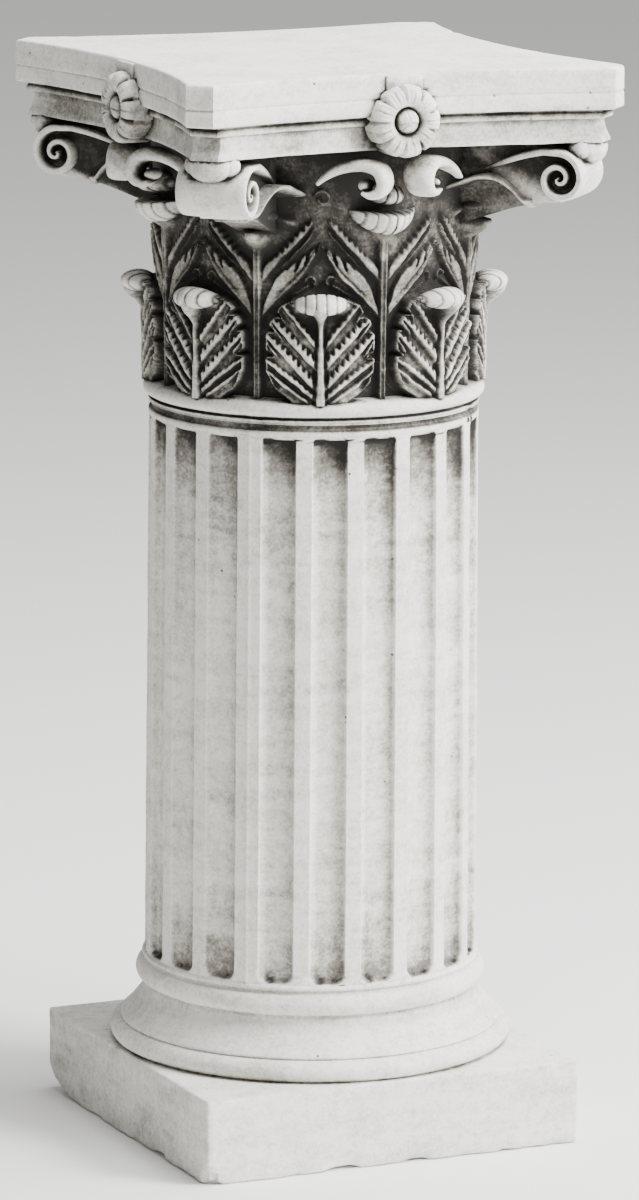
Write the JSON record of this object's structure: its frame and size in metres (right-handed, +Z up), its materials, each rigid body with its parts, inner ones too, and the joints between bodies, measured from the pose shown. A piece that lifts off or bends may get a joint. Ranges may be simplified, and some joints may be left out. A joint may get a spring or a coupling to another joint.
{
  "type": "garden column",
  "caption": "Cast-stone garden column with a square plinth, moulded base, fluted shaft and a leaf-and-scroll capital under a flat top slab.",
  "frame": {"origin": "centre of the plinth's underside", "axes": "+Z up along the column; the plinth's and slab's sides face -X, +X, -Y and +Y; the picture looks at the corner between -X and -Y"},
  "size_m": [0.344, 0.344, 0.8],
  "materials": {
    "cast_stone": "matt cast stone, off-white, with dark grey patina in the recesses"
  },
  "bodies": {
    "root": {"garden_column": "cast_stone"}
  },
  "joints": []
}
